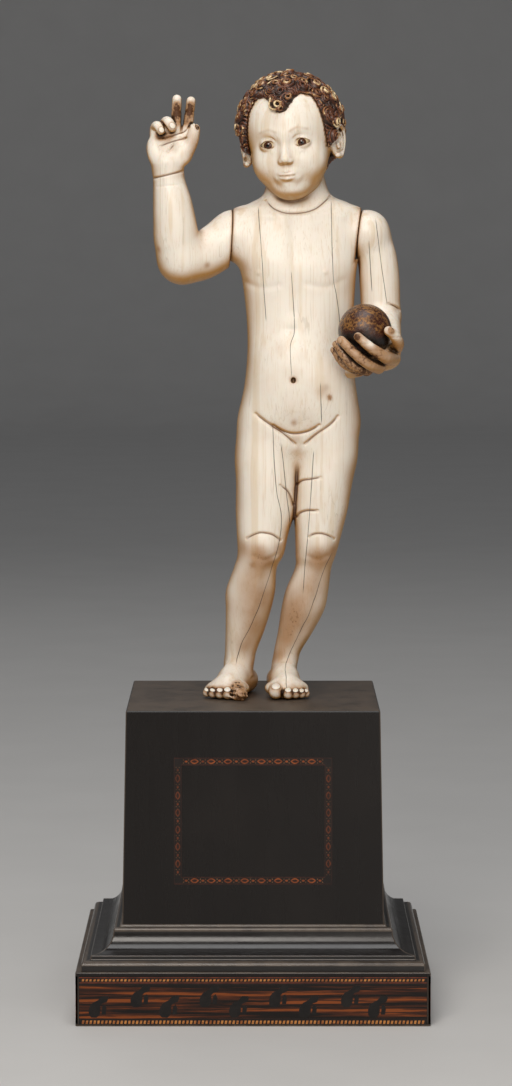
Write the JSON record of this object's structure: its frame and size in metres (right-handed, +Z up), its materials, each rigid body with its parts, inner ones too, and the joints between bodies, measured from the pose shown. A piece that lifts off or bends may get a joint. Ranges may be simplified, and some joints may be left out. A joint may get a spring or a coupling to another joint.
{
  "type": "child jesus statue",
  "caption": "Carved ivory standing child with a raised right hand and a globe in the left, on a black veneered pedestal with a stepped moulding and marquetry foot.",
  "frame": {"origin": "centre of the pedestal's underside", "axes": "+Z up, the figure faces -Y, and +X is the figure's left-hand side"},
  "size_m": [0.241, 0.241, 0.6499],
  "materials": {
    "ivory": "polished old ivory, yellowed in the hollows, with dark paint left on the hair",
    "globe_paint": "worn dark brown paint with rubbed gilding",
    "black_veneer": "polished black veneer",
    "inlay_wood": "red and orange wood inlay under polish",
    "marquetry_wood": "striped reddish brown wood marquetry with dark motifs, polished"
  },
  "bodies": {
    "root": {"body": "ivory", "raised_right_arm": "ivory", "lowered_left_arm": "ivory", "globe": "globe_paint", "pedestal_die": "black_veneer", "base_moulding": "black_veneer", "base_block": "black_veneer", "border_bottom": "inlay_wood", "border_top": "inlay_wood", "border_left": "inlay_wood", "border_right": "inlay_wood", "marquetry_front": "marquetry_wood", "marquetry_right": "marquetry_wood", "marquetry_back": "marquetry_wood", "marquetry_left": "marquetry_wood"}
  },
  "joints": []
}
